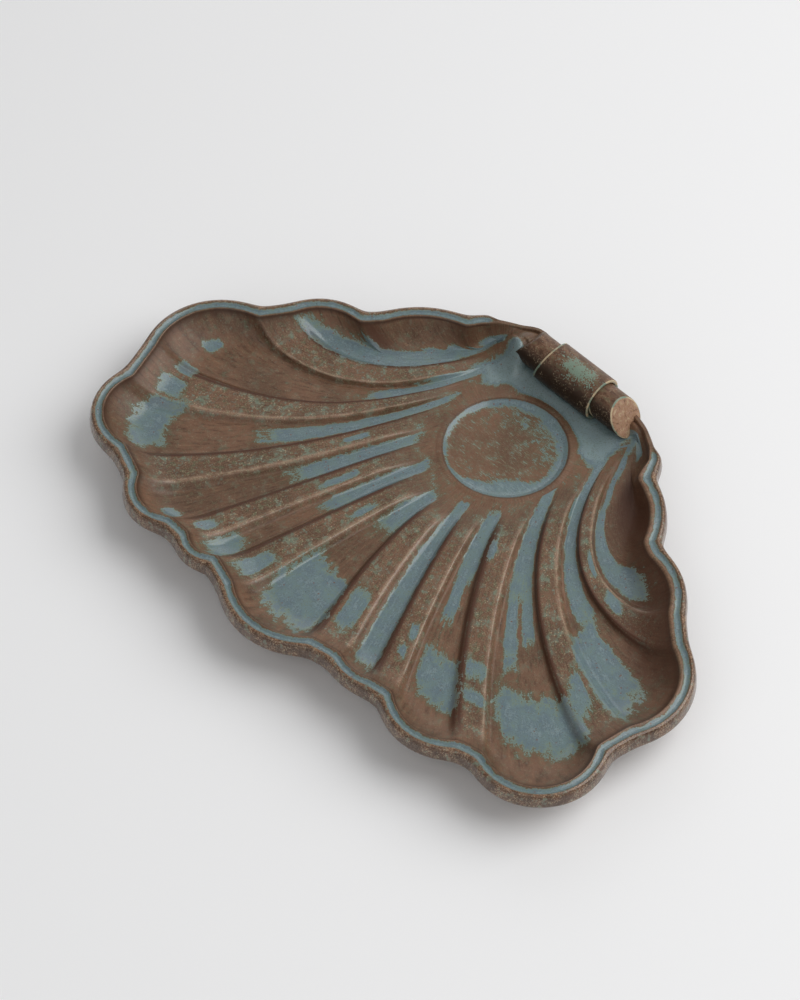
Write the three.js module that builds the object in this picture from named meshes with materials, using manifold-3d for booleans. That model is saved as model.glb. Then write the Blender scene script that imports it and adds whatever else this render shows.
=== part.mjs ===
// A stoneware serving dish in the form of a scallop shell: a fluted shell with a round well and a beaded,
// grooved rim, a scroll laid along the hinge, a sleeve wrapped round the scroll, and a low foot ring.
// Millimetres, +Z up. The dish stands on z = 0 with its hinge at +Y. Plan points are measured from the centre
// of the well, where the two halves of the shell meet at x = 0.
import * as THREE from "three";
import { mergeVertices } from "three/addons/utils/BufferGeometryUtils.js";
import Module from "manifold-3d";

// Heights, one on top of the other
const FOOT_HEIGHT = 7; // table to the flat underside
const FLOOR_THICKNESS = 8; // underside to the floor round the well
const RIM_RISE = 12; // floor to the bottom of the rim groove

// Flutes: concave channels with flat bands between them
const BAND_HEIGHT = 4.5; // flat bands over the channels
const BAND_RAMP = 0.12; // share of a flute's length in which its bands rise from the floor
const CHANNEL_SHARE = 0.56; // share of the spacing that a channel takes at the hub
const CHANNEL_FULLNESS = 0.75; // power of the sine across a channel, under 1 for a wide bottom
const CHANNEL_DIP = 0.8; // fall of a channel from the hub to the wall
const WALL_RUN = 24; // width of the scooped wall inside the rim
const WALL_LIMIT = 0.75; // most of a short flute that the wall may take
const WALL_POWER = 2.4; // how sharply the wall turns up at the rim

// Rim: inner bead, groove and outer bead, then the sloping flank and the curved underside
const GROOVE_WIDTH = 3.2;
const INNER_BEAD_WIDTH = 2;
const OUTER_BEAD_WIDTH = 1.4;
const BEAD_RISE = 1.4; // bead tops over the bottom of the groove
const FLANK_HEIGHT = 6; // outer bead's foot down to the lip of the underside
const FLANK_RUN = 2.2; // how far the flank slopes out on its way down
const FLANK_ROUND = 1.6; // power of the flank's curve, over 1 for a rounded shoulder
const LIP_EDGE = 0.8; // rounding of the lip under the flank
const HINGE_RIM = 0.4; // share of the rim's width that is left behind its tips, where the beads end
const BEAD_FADE = 0.45; // place among the hinge points, after the tip, where the beads are gone
const UNDER_RUN = 36; // width of the curved underside, lip to flat
const UNDER_LIMIT = 0.9; // most of the way to the flat that the curve may take
const UNDER_POWER = 2.6; // how quickly the underside falls away from the lip

// Round well with a low ring round it
const WELL_RADIUS = 32.7;
const WELL_DEPTH = 1.6;
const WELL_SLOPE = 3; // width of the well's edge
const RING_WIDTH = 3.4;
const RING_RISE = 0.7;
const HUB_MARGIN = 0.3; // least distance of a flute's start from the ring

// Scroll and its sleeve
const SCROLL_LENGTH = 72;
const SCROLL_RADIUS = 9.8;
const SCROLL_EDGE = 1; // rounding of the end discs
const SCROLL_SLANT = 0.65; // run over rise of the end discs, which face out and up
const SCROLL_Y = 51.5; // axis, from the centre of the well
const SLEEVE_LENGTH = 38;
const SLEEVE_WALL = 2;
const SLEEVE_EDGE = 0.5;
const SCROLL_SINK = 0.5; // how deep the sleeve sits in the floor
const LUTE_GAP = 0.3; // layer of slip between two luted pieces

// Foot ring, an ellipse under the middle of the shell
const FOOT_LENGTH = 200;
const FOOT_DEPTH = 130;
const FOOT_Y = -68;
const FOOT_WIDTH = 9;
const FOOT_EDGE = 1.2;
const PAD_MARGIN = 4; // flat underside outside the foot ring

// The rim's lobes, front to hinge. The shell is pressed by hand, so its two halves differ a little: each lobe
// has an arc of the groove line, and a flute that starts at the hub and bends on its way to that arc, for the
// half at +X and for the half at -X, both written with x outwards. Straight bands join the lobes.
const LOBES = [
  {
    right: { from: [-29, -167], to: [24, -162], bow: 10.4, hub: [-3, -43], bend: [-12, -100] },
    left: { from: [-24, -162], to: [29, -167], bow: 10.4, hub: [3, -43], bend: [12, -100] },
  },
  {
    right: { from: [40, -158.5], to: [62, -158.5], bow: 2.5, hub: [11, -43], bend: [24, -95] },
    left: { from: [46, -161.5], to: [67, -162], bow: 4.8, hub: [20, -36], bend: [40, -97] },
  },
  {
    right: { from: [74, -156.5], to: [118, -153], bow: 9, hub: [24, -29], bend: [43, -86] },
    left: { from: [80, -162], to: [113, -154], bow: 8.2, hub: [33, -20], bend: [59, -86] },
  },
  {
    right: { from: [130, -150], to: [168, -105], bow: 22.5, hub: [36, -5], bend: [65, -75] },
    left: { from: [132, -147], to: [164, -112], bow: 13.7, hub: [42, 8], bend: [72, -86] },
  },
  {
    right: { from: [171.5, -87], to: [153, -34], bow: 13, hub: [42, 20], bend: [66, -62] },
    left: { from: [171, -90], to: [147, -36], bow: 14.8, hub: [44, 30], bend: [70, -61] },
  },
  {
    right: { from: [138, -20.5], to: [106, -1], bow: 5, hub: [48, 42], bend: [80, -45] },
    left: { from: [137, -21], to: [107, 0], bow: 6.5, hub: [50, 44], bend: [77, -16] },
  },
  {
    right: { from: [99.5, 2.5], to: [70, 29.5], bow: 5, hub: [52, 46], bend: [62, 22] },
    left: { from: [99, 9.5], to: [66, 38], bow: 5, hub: [52, 46], bend: [62, 22] },
  },
];
// The hinge: the rim's tip, the ear beside the scroll, the scroll's end and the middle of the low back wall.
const HINGE = [
  { right: [65, 42], left: [61, 46], hub: [50, 48], bend: [56, 46], drop: 0 },
  { right: [48.5, 53], left: [46, 55], hub: [44, 50], bend: [45, 51], drop: 1.5 },
  { right: [34, 58.5], left: [34, 58.5], hub: [36, 47.5], bend: [35, 53], drop: 5 },
  { right: [0, 61], left: [0, 61], hub: [0, 41], bend: [0, 50], drop: 7 },
];

// Fineness of the surface
const STATION_STEP = 8; // spacing of the points along the rim
const LEAST_STEPS = 3; // steps of a short stretch of the rim
const CORNER_SOFTNESS = 0.4; // how far a point of the rim line moves to the middle of its neighbours
const HUB_TO_RIM = 8; // rings from the hub to the rim
const RIM_CROWDING = 1.4; // power that crowds those rings towards the rim
const FLANK_STEPS = 3; // rings of the flank
const UNDER_STEPS = 3; // rings of the curved underside
const ROUND_SIDES = 40; // sides of the scroll
const FOOT_SIDES = 44; // sides of the foot ring

const CLAY = new THREE.Color(0x9a7a62);
const GLAZE = new THREE.Color(0x6b5242);
const POOLED_GLAZE = new THREE.Color(0x6f868c);

const floorZ = FOOT_HEIGHT + FLOOR_THICKNESS;
const grooveZ = floorZ + RIM_RISE;
const ringEdge = WELL_RADIUS + RING_WIDTH;
const sleeveRadius = SCROLL_RADIUS + LUTE_GAP + SLEEVE_WALL;
const scrollZ = floorZ + sleeveRadius - SCROLL_SINK;

const mix = (a, b, t) => a + (b - a) * t;
const mixPoint = (a, b, t) => [mix(a[0], b[0], t), mix(a[1], b[1], t)];
const smooth = (from, to, v) => THREE.MathUtils.smoothstep(v, from, to);
const gap = (a, b) => Math.hypot(b[0] - a[0], b[1] - a[1]);

// A point on a lobe's arc, t from 0 to 1 along it.
function lobePoint({ from, to, bow }, t) {
  const chord = gap(from, to);
  const radius = (chord * chord) / (8 * bow) + bow / 2;
  const turn = Math.asin(chord / 2 / radius) * (2 * t - 1);
  const along = chord / 2 + radius * Math.sin(turn);
  const out = bow - radius * (1 - Math.cos(turn));
  const dx = (to[0] - from[0]) / chord;
  const dy = (to[1] - from[1]) / chord;
  return [from[0] + dx * along + dy * out, from[1] + dy * along - dx * out];
}

// Stations along one half of the rim, front to the middle of the back: rim point, place among the flutes (a
// whole number at each lobe's middle and each hinge point), depth of the channel there and drop of the rim.
function halfStations(side) {
  const found = [];
  const put = (rim, flute, channel, drop = 0) => found.push({ rim, flute, channel, drop });
  const steps = (length) => Math.max(LEAST_STEPS, Math.round(length / STATION_STEP));
  LOBES.forEach((lobe, k) => {
    const { from, to, bow } = lobe[side];
    const first = k === 0 ? 0.5 : 0;
    const n = steps((1 - first) * (gap(from, to) + bow));
    for (let i = 0; i <= n; i++) {
      const t = mix(first, 1, i / n);
      put(lobePoint(lobe[side], t), k + (t - 0.5) * CHANNEL_SHARE, Math.sin(Math.PI * t) ** CHANNEL_FULLNESS);
    }
    const next = LOBES[k + 1];
    const landing = next ? next[side].from : HINGE[0][side];
    const bandStart = k + CHANNEL_SHARE / 2;
    const bandEnd = next ? k + 1 - CHANNEL_SHARE / 2 : k + 1;
    const m = steps(gap(to, landing));
    for (let i = 1; i < m; i++) {
      const t = i / m;
      put(mixPoint(to, landing, t), mix(bandStart, bandEnd, t), next ? 0 : smooth(0, 1, t));
    }
  });
  HINGE.slice(1).forEach((point, i) => {
    const before = HINGE[i];
    const n = steps(gap(before[side], point[side]));
    for (let j = 0; j < n; j++) {
      const t = j / n;
      put(mixPoint(before[side], point[side], t), LOBES.length + i + t, 1, mix(before.drop, point.drop, t));
    }
  });
  const back = HINGE[HINGE.length - 1];
  put(back[side], LOBES.length + HINGE.length - 1, 1, back.drop);
  return found.map((s) => {
    const hub = outsideRing(fluteKey(side, "hub", s.flute));
    return { ...s, hub, bend: fluteKey(side, "bend", s.flute) };
  });
}

// Hub point or bend point of one half, at a place among its flutes.
function fluteKey(side, name, flute) {
  const keys = [...LOBES.map((lobe) => lobe[side]), ...HINGE];
  const k = Math.min(Math.floor(flute), keys.length - 2);
  return mixPoint(keys[k][name], keys[k + 1][name], flute - k);
}

// A hub point, moved out where it would lie on the ring of the well.
function outsideRing([x, y]) {
  const reach = Math.hypot(x, y);
  const push = Math.max(1, (ringEdge + HUB_MARGIN) / reach);
  return [x * push, y * push];
}

// The closed ring of stations: the right half, then the left one turned over and run backwards, with the
// corners of the rim line softened and the outward direction of each point.
function ringOfStations() {
  const flip = ([x, y]) => [-x, y];
  const left = halfStations("left").slice(1, -1).reverse();
  const turned = left.map((s) => ({ ...s, rim: flip(s.rim), hub: flip(s.hub), bend: flip(s.bend) }));
  const ring = [...halfStations("right"), ...turned];
  const at = (i) => ring[(i + ring.length) % ring.length].rim;
  const softened = ring.map((s, i) => mixPoint(s.rim, mixPoint(at(i - 1), at(i + 1), 0.5), CORNER_SOFTNESS));
  const near = (i) => softened[(i + ring.length) % ring.length];
  return ring.map((s, i) => {
    const [ax, ay] = near(i - 1);
    const [bx, by] = near(i + 1);
    const length = Math.hypot(bx - ax, by - ay);
    return { ...s, rim: softened[i], out: [(by - ay) / length, (ax - bx) / length] };
  });
}

// Section of the rim: distance out from the groove line and height over the bottom of the groove. It starts
// at the top of the inner wall and ends at the lip. Behind the tips it narrows to a plain rounded edge.
function rimSection(flute) {
  const bead = 1 - smooth(LOBES.length, LOBES.length + BEAD_FADE, flute);
  const width = mix(HINGE_RIM, 1, bead);
  const groove = (GROOVE_WIDTH / 2) * width;
  const inside = groove + INNER_BEAD_WIDTH * width;
  const shoulder = groove + OUTER_BEAD_WIDTH * width;
  const grooveEdge = mix(BEAD_RISE, BEAD_RISE / 2, bead);
  const points = [
    [-inside, 0],
    [-(inside + groove) / 2, BEAD_RISE],
    [-groove, grooveEdge],
    [0, BEAD_RISE * (1 - bead)],
    [groove, grooveEdge],
    [(groove + shoulder) / 2, BEAD_RISE],
    [shoulder, BEAD_RISE / 2],
  ];
  const run = FLANK_RUN * width;
  for (let i = 1; i <= FLANK_STEPS; i++) {
    const part = i / FLANK_STEPS;
    points.push([shoulder + run * (1 - (1 - part) ** FLANK_ROUND), -FLANK_HEIGHT * part]);
  }
  points.push([shoulder + run - LIP_EDGE, -FLANK_HEIGHT - LIP_EDGE]);
  return points;
}

// Height of the flutes between the hub (s = 0) and the top of the inner wall (s = 1).
function fluteHeight(station, s, crest) {
  const { hub, rim, channel } = station;
  const length = gap(hub, rim);
  const wall = Math.min(WALL_LIMIT, WALL_RUN / length);
  const band = BAND_HEIGHT * smooth(0, BAND_RAMP, s) * (1 - channel);
  const dip = CHANNEL_DIP * smooth(0, 1 - wall, s) * smooth(0, WALL_RUN * 2, length);
  const up = Math.max(0, (s - 1 + wall) / wall) ** WALL_POWER;
  return mix(floorZ + band - dip, crest, up);
}

// The section of the whole shell at one station, from the edge of the well outwards and back underneath.
function shellSection(station) {
  const { rim, out, hub, bend, drop, flute } = station;
  const points = [];
  const crest = grooveZ - drop;
  const angle = Math.atan2(hub[1], hub[0]);
  const round = (radius, z) => points.push([radius * Math.cos(angle), radius * Math.sin(angle), z]);
  const offset = (d) => [rim[0] + out[0] * d, rim[1] + out[1] * d];
  round(WELL_RADIUS - WELL_SLOPE, floorZ - WELL_DEPTH);
  round(WELL_RADIUS, floorZ + RING_RISE / 2);
  round(WELL_RADIUS + RING_WIDTH / 2, floorZ + RING_RISE);
  round(ringEdge, floorZ);
  const section = rimSection(flute);
  const end = offset(section[0][0]);
  for (let i = 0; i < HUB_TO_RIM; i++) {
    const s = 1 - (1 - i / HUB_TO_RIM) ** RIM_CROWDING;
    const [x, y] = mixPoint(mixPoint(hub, bend, s), mixPoint(bend, end, s), s);
    points.push([x, y, fluteHeight(station, s, crest)]);
  }
  section.forEach(([d, z]) => points.push([...offset(d), crest + z]));
  const lip = points[points.length - 1];
  const turn = Math.atan2(rim[1] - FOOT_Y, rim[0]);
  const padX = (FOOT_LENGTH / 2 + PAD_MARGIN) * Math.cos(turn);
  const padY = FOOT_Y + (FOOT_DEPTH / 2 + PAD_MARGIN) * Math.sin(turn);
  const curve = Math.min(UNDER_LIMIT, UNDER_RUN / gap(lip, [padX, padY]));
  for (let i = 1; i <= UNDER_STEPS; i++) {
    const part = i / UNDER_STEPS;
    const [x, y] = mixPoint(lip, [padX, padY], part * curve);
    points.push([x, y, mix(FOOT_HEIGHT, lip[2], (1 - part) ** UNDER_POWER)]);
  }
  points.push([padX, padY, FOOT_HEIGHT]);
  return points;
}

// A closed surface through rings of points, with a point at the middle of the top and of the underside.
function closedSurface(sections, top, bottom) {
  const rings = sections[0].length;
  const count = sections.length;
  const positions = [...top, ...sections.flat(2), ...bottom];
  const last = 1 + count * rings;
  const id = (j, i) => 1 + (j % count) * rings + i;
  const index = [];
  for (let j = 0; j < count; j++) {
    index.push(0, id(j, 0), id(j + 1, 0));
    for (let i = 0; i < rings - 1; i++) {
      index.push(id(j, i), id(j, i + 1), id(j + 1, i + 1));
      index.push(id(j, i), id(j + 1, i + 1), id(j + 1, i));
    }
    index.push(id(j, rings - 1), last, id(j + 1, rings - 1));
  }
  const geometry = new THREE.BufferGeometry();
  geometry.setAttribute("position", new THREE.Float32BufferAttribute(positions, 3));
  geometry.setIndex(index);
  return geometry;
}

const wasm = await Module();
wasm.setup();

function toSolid(geometry) {
  const bare = geometry.clone();
  bare.deleteAttribute("normal");
  bare.deleteAttribute("uv");
  const merged = mergeVertices(bare, 1e-3);
  const vertProperties = new Float32Array(merged.attributes.position.array);
  const triVerts = new Uint32Array(merged.index.array);
  return new wasm.Manifold(new wasm.Mesh({ numProp: 3, vertProperties, triVerts }));
}

function toGeometry(solid) {
  const { vertProperties, triVerts } = solid.getMesh();
  const geometry = new THREE.BufferGeometry();
  geometry.setAttribute("position", new THREE.BufferAttribute(vertProperties, 3));
  geometry.setIndex(new THREE.BufferAttribute(triVerts, 1));
  geometry.computeVertexNormals();
  return geometry;
}

// A bar turned about the scroll's axis, with rounded ends that lean back by the slant.
function scrollBar(length, radius, edge, slant = 0) {
  const end = length / 2;
  const corner = edge * (1 - Math.SQRT1_2);
  const profile = [
    [0, -end],
    [radius - edge, -end],
    [radius - corner, -end + corner],
    [radius, -end + edge],
    [radius, end - edge],
    [radius - corner, end - corner],
    [radius - edge, end],
    [0, end],
  ].map(([x, y]) => new THREE.Vector2(x, y));
  const bar = new THREE.LatheGeometry(profile, ROUND_SIDES).rotateZ(-Math.PI / 2);
  const place = bar.attributes.position;
  for (let i = 0; i < place.count; i++) {
    const x = place.getX(i);
    place.setX(i, x - Math.sign(x) * slant * place.getZ(i));
  }
  return bar.translate(0, SCROLL_Y, scrollZ);
}

function shellGeometry() {
  const sections = ringOfStations().map(shellSection);
  const raw = closedSurface(sections, [0, 0, floorZ - WELL_DEPTH], [0, FOOT_Y, FOOT_HEIGHT]);
  const endGap = LUTE_GAP * Math.hypot(1, SCROLL_SLANT);
  const coreLength = SCROLL_LENGTH + 2 * endGap;
  const coreSeat = scrollBar(coreLength, SCROLL_RADIUS + LUTE_GAP, SCROLL_EDGE, SCROLL_SLANT);
  const sleeveSeat = scrollBar(SLEEVE_LENGTH + 2 * LUTE_GAP, sleeveRadius + LUTE_GAP, SLEEVE_EDGE);
  return toGeometry(toSolid(raw).subtract(toSolid(coreSeat)).subtract(toSolid(sleeveSeat)));
}

function coreGeometry() {
  return scrollBar(SCROLL_LENGTH, SCROLL_RADIUS, SCROLL_EDGE, SCROLL_SLANT);
}

function sleeveGeometry() {
  const outside = toSolid(scrollBar(SLEEVE_LENGTH, sleeveRadius, SLEEVE_EDGE));
  const bore = toSolid(scrollBar(SCROLL_LENGTH, SCROLL_RADIUS + LUTE_GAP, SCROLL_EDGE));
  return toGeometry(outside.subtract(bore));
}

function footGeometry() {
  const ellipse = (inset) => {
    const curve = new THREE.EllipseCurve(0, 0, FOOT_LENGTH / 2 - inset, FOOT_DEPTH / 2 - inset);
    return curve.getPoints(FOOT_SIDES).slice(0, -1);
  };
  const outline = new THREE.Shape(ellipse(0));
  outline.holes.push(new THREE.Path(ellipse(FOOT_WIDTH)));
  const ring = new THREE.ExtrudeGeometry(outline, {
    depth: FOOT_HEIGHT - 2 * FOOT_EDGE,
    bevelThickness: FOOT_EDGE,
    bevelSize: FOOT_EDGE,
    bevelOffset: -FOOT_EDGE,
    bevelSegments: 1,
  });
  return ring.translate(0, FOOT_Y, FOOT_EDGE);
}

function piece(name, geometry, color, roughness) {
  const material = new THREE.MeshStandardMaterial({ color, roughness, metalness: 0 });
  const mesh = new THREE.Mesh(geometry, material);
  mesh.name = name;
  return mesh;
}

const dish = new THREE.Group();
dish.add(piece("shell_dish", shellGeometry(), GLAZE, 0.4));
dish.add(piece("scroll_core", coreGeometry(), CLAY, 0.6));
dish.add(piece("scroll_sleeve", sleeveGeometry(), POOLED_GLAZE, 0.4));
dish.add(piece("foot_ring", footGeometry(), CLAY, 0.85));

// The origin lies under the middle of the dish.
const middle = new THREE.Box3().setFromObject(dish).getCenter(new THREE.Vector3());
dish.position.set(-middle.x, -middle.y, 0);
const part = new THREE.Group();
part.add(dish);

export default part;
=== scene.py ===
import bmesh
import bpy
import math
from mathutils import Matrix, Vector, geometry, noise


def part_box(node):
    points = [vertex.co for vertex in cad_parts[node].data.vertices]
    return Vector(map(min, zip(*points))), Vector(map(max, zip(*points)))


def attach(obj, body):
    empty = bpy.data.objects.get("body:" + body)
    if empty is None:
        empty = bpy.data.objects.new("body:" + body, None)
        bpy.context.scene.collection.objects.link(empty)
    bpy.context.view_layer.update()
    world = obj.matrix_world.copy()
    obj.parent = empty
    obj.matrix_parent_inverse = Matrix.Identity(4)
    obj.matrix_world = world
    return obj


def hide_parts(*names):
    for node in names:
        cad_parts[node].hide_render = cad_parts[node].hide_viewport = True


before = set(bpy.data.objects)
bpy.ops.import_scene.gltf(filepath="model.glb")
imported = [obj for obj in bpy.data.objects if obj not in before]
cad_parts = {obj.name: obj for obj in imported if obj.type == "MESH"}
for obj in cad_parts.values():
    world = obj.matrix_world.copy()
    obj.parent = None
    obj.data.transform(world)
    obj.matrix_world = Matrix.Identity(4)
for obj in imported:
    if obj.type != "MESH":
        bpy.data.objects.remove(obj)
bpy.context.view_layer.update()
mm = 0.001  # the dictionaries below hold millimetres


def mix(a, b, t):
    return a + (b - a) * t


def smooth(low, high, value):
    t = min(1.0, max(0.0, (value - low) / (high - low)))
    return t * t * (3 - 2 * t)


def bump(value, middle, half):  # 1 at the middle, 0 from half away
    return 1 - smooth(0, half, abs(value - middle))


# a smooth line through points, with so many steps between each two
def curveThrough(points, steps):
    points = [Vector(p) for p in points]
    ends = points[:1] + points + points[-1:]
    line = []
    for before, a, b, after in zip(ends, ends[1:], ends[2:], ends[3:]):
        first = a + (b - before) / 6
        second = b - (after - a) / 6
        line += geometry.interpolate_bezier(a, first, second, b, steps + 1)[:-1]
    return line + points[-1:]


def makeObject(bm, name, material):
    mesh = bpy.data.meshes.new(name)
    bm.to_mesh(mesh)
    bm.free()
    for face in mesh.polygons:
        face.use_smooth = True
    mesh.materials.append(material)
    made = bpy.data.objects.new(name, mesh)
    bpy.context.scene.collection.objects.link(made)
    return made


def finishPiece(bm, name, node, material):
    piece = makeObject(bm, name, material)
    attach(piece, "root")
    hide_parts(node)
    print(name, len(piece.data.polygons), "faces")


def softenEdges(bm, width):
    sharp = [e for e in bm.edges if e.is_manifold and e.calc_face_angle() > 1]  # turned by over a radian
    bmesh.ops.bevel(bm, geom=sharp, offset=width * mm, offset_type="OFFSET", segments=4,
                    profile=0.5, affect="EDGES", material=-1, clamp_overlap=True)


# Shader sheet: values are sockets, and sums of them add Math nodes

class Value:
    def __init__(self, sheet, socket):
        self.sheet = sheet
        self.socket = socket

    def maths(self, operation, first, second):
        return self.sheet.node("ShaderNodeMath", {"operation": operation}, {0: first, 1: second})

    def __add__(self, other):
        return self.maths("ADD", self, other)

    def __sub__(self, other):
        return self.maths("SUBTRACT", self, other)

    def __rsub__(self, other):
        return self.maths("SUBTRACT", other, self)

    def __mul__(self, other):
        return self.maths("MULTIPLY", self, other)

    __radd__ = __add__
    __rmul__ = __mul__

    def higher(self, other):
        return self.maths("MAXIMUM", self, other)

    def between(self, low, high):  # soft step from 0 at low to 1 at high
        settings = {"interpolation_type": "SMOOTHSTEP"}
        return self.sheet.node("ShaderNodeMapRange", settings, {0: self, 1: low, 2: high})


class Sheet:
    def __init__(self, name):
        self.material = bpy.data.materials.new(name)
        self.material.use_nodes = True
        self.tree = self.material.node_tree
        self.surface = self.tree.nodes["Principled BSDF"]

    def node(self, kind, settings=None, sockets=None, output=0):
        made = self.tree.nodes.new(kind)
        for name, value in (settings or {}).items():
            setattr(made, name, value)
        for name, value in (sockets or {}).items():
            self.give(made.inputs[name], value)
        return Value(self, made.outputs[output])

    def give(self, socket, value):
        if isinstance(value, Value):
            self.tree.links.new(value.socket, socket)
        else:
            socket.default_value = value

    def attribute(self, name, output="Fac"):
        return self.node("ShaderNodeAttribute", {"attribute_name": name}, output=output)

    def place(self):
        return self.node("ShaderNodeTexCoord", output="Object")

    def scaled(self, vector, scale, turn=(0, 0, 0)):
        return self.node("ShaderNodeMapping", None, {"Vector": vector, "Scale": scale, "Rotation": turn})

    def grain(self, vector, scale, detail=3.0, rough=0.55):
        sockets = {"Vector": vector, "Scale": scale, "Detail": detail, "Roughness": rough}
        return self.node("ShaderNodeTexNoise", None, sockets)

    def dots(self, vector, scale, size, share):  # round dots in a share of the cells
        near = self.node("ShaderNodeTexVoronoi", None, {"Vector": vector, "Scale": scale})
        kind = self.node("ShaderNodeTexVoronoi", None, {"Vector": vector, "Scale": scale}, "Color")
        chosen = self.node("ShaderNodeSeparateColor", None, {0: kind}).between(1 - share, 1.02 - share)
        return (1 - near.between(size * 0.6, size)) * chosen

    def blend(self, share, first, second):
        return self.node("ShaderNodeMix", {"data_type": "RGBA"}, {0: share, 6: first, 7: second}, 2)

    def coats(self, face, layers):  # each layer: the share that it covers, and its glaze
        for share, name in layers:
            face = self.blend(share, face, glaze[name])
        return face

    def relief(self, height, strength, depth):
        return self.node("ShaderNodeBump", None, {"Height": height, "Strength": strength, "Distance": depth})

    def finish(self, sockets):
        for name, value in sockets.items():
            self.give(self.surface.inputs[name], value)
        return self.material


def colour(red, green, blue):  # screen values from 0 to 255, made linear
    def plain(value):
        value /= 255
        return value / 12.92 if value <= 0.04045 else ((value + 0.055) / 1.055) ** 2.4
    return (plain(red), plain(green), plain(blue), 1.0)


# Glazes

glaze = {
    "brown": colour(98, 72, 54),
    "warmBrown": colour(118, 86, 66),
    "chocolate": colour(62, 38, 24),
    "rust": colour(110, 68, 44),
    "rustAndShade": colour(72, 40, 24),
    "tan": colour(150, 116, 88),
    "ridge": colour(154, 122, 102),
    "cream": colour(190, 170, 138),
    "olive": colour(96, 96, 72),
    "teal": colour(116, 134, 118),
    "blue": colour(104, 124, 126),
    "deepBlue": colour(96, 114, 122),
    "paleBlue": colour(134, 152, 152),
    "pinhole": colour(38, 28, 22),
    "rollShade": colour(42, 26, 14),
    "clay": colour(164, 132, 106),
    "clayDark": colour(124, 92, 70),
    "disc": colour(160, 126, 104),
    "roughness": 0.46, "poolRoughness": 0.3, "discRoughness": 0.12, "clayRoughness": 0.82,
    "specular": 0.32,
    "coat": 0.05, "poolCoat": 0.55, "coatRoughness": 0.16, "scrollCoatRoughness": 0.25,
    # grains per metre, or per step of the flow along the flutes
    "fine": 1500.0, "soft": 150.0, "broad": 38.0, "blotch": 420.0,
    "run": (1.5, 0.1, 1), "mottle": (0.9, 0.3, 1), "brush": (260, 1300, 260), "brushTurn": -62.0,
    "scrollFine": 1200.0, "scrollSoft": 160.0, "scrollMottle": (260, 420, 420),
    "clayFine": 1400.0, "claySoft": 120.0,
    # dots: per metre, size in cells, share of the cells
    "speckle": (900.0, 0.4, 0.3), "freckle": (430.0, 0.24, 0.4), "pin": (190.0, 0.07, 0.4),
    "clayGrit": (700.0, 0.3, 0.2),
    "bump": 0.5, "bumpDepth": 0.0004, "clayBump": 0.6, "clayBumpDepth": 0.0003,
}
# marks on the meshes that the glazes read
shellMarks = ("pool", "band", "edge", "wall", "bead", "crease", "outside", "well")
scrollMarks = ("line", "disc", "patch", "low")


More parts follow.
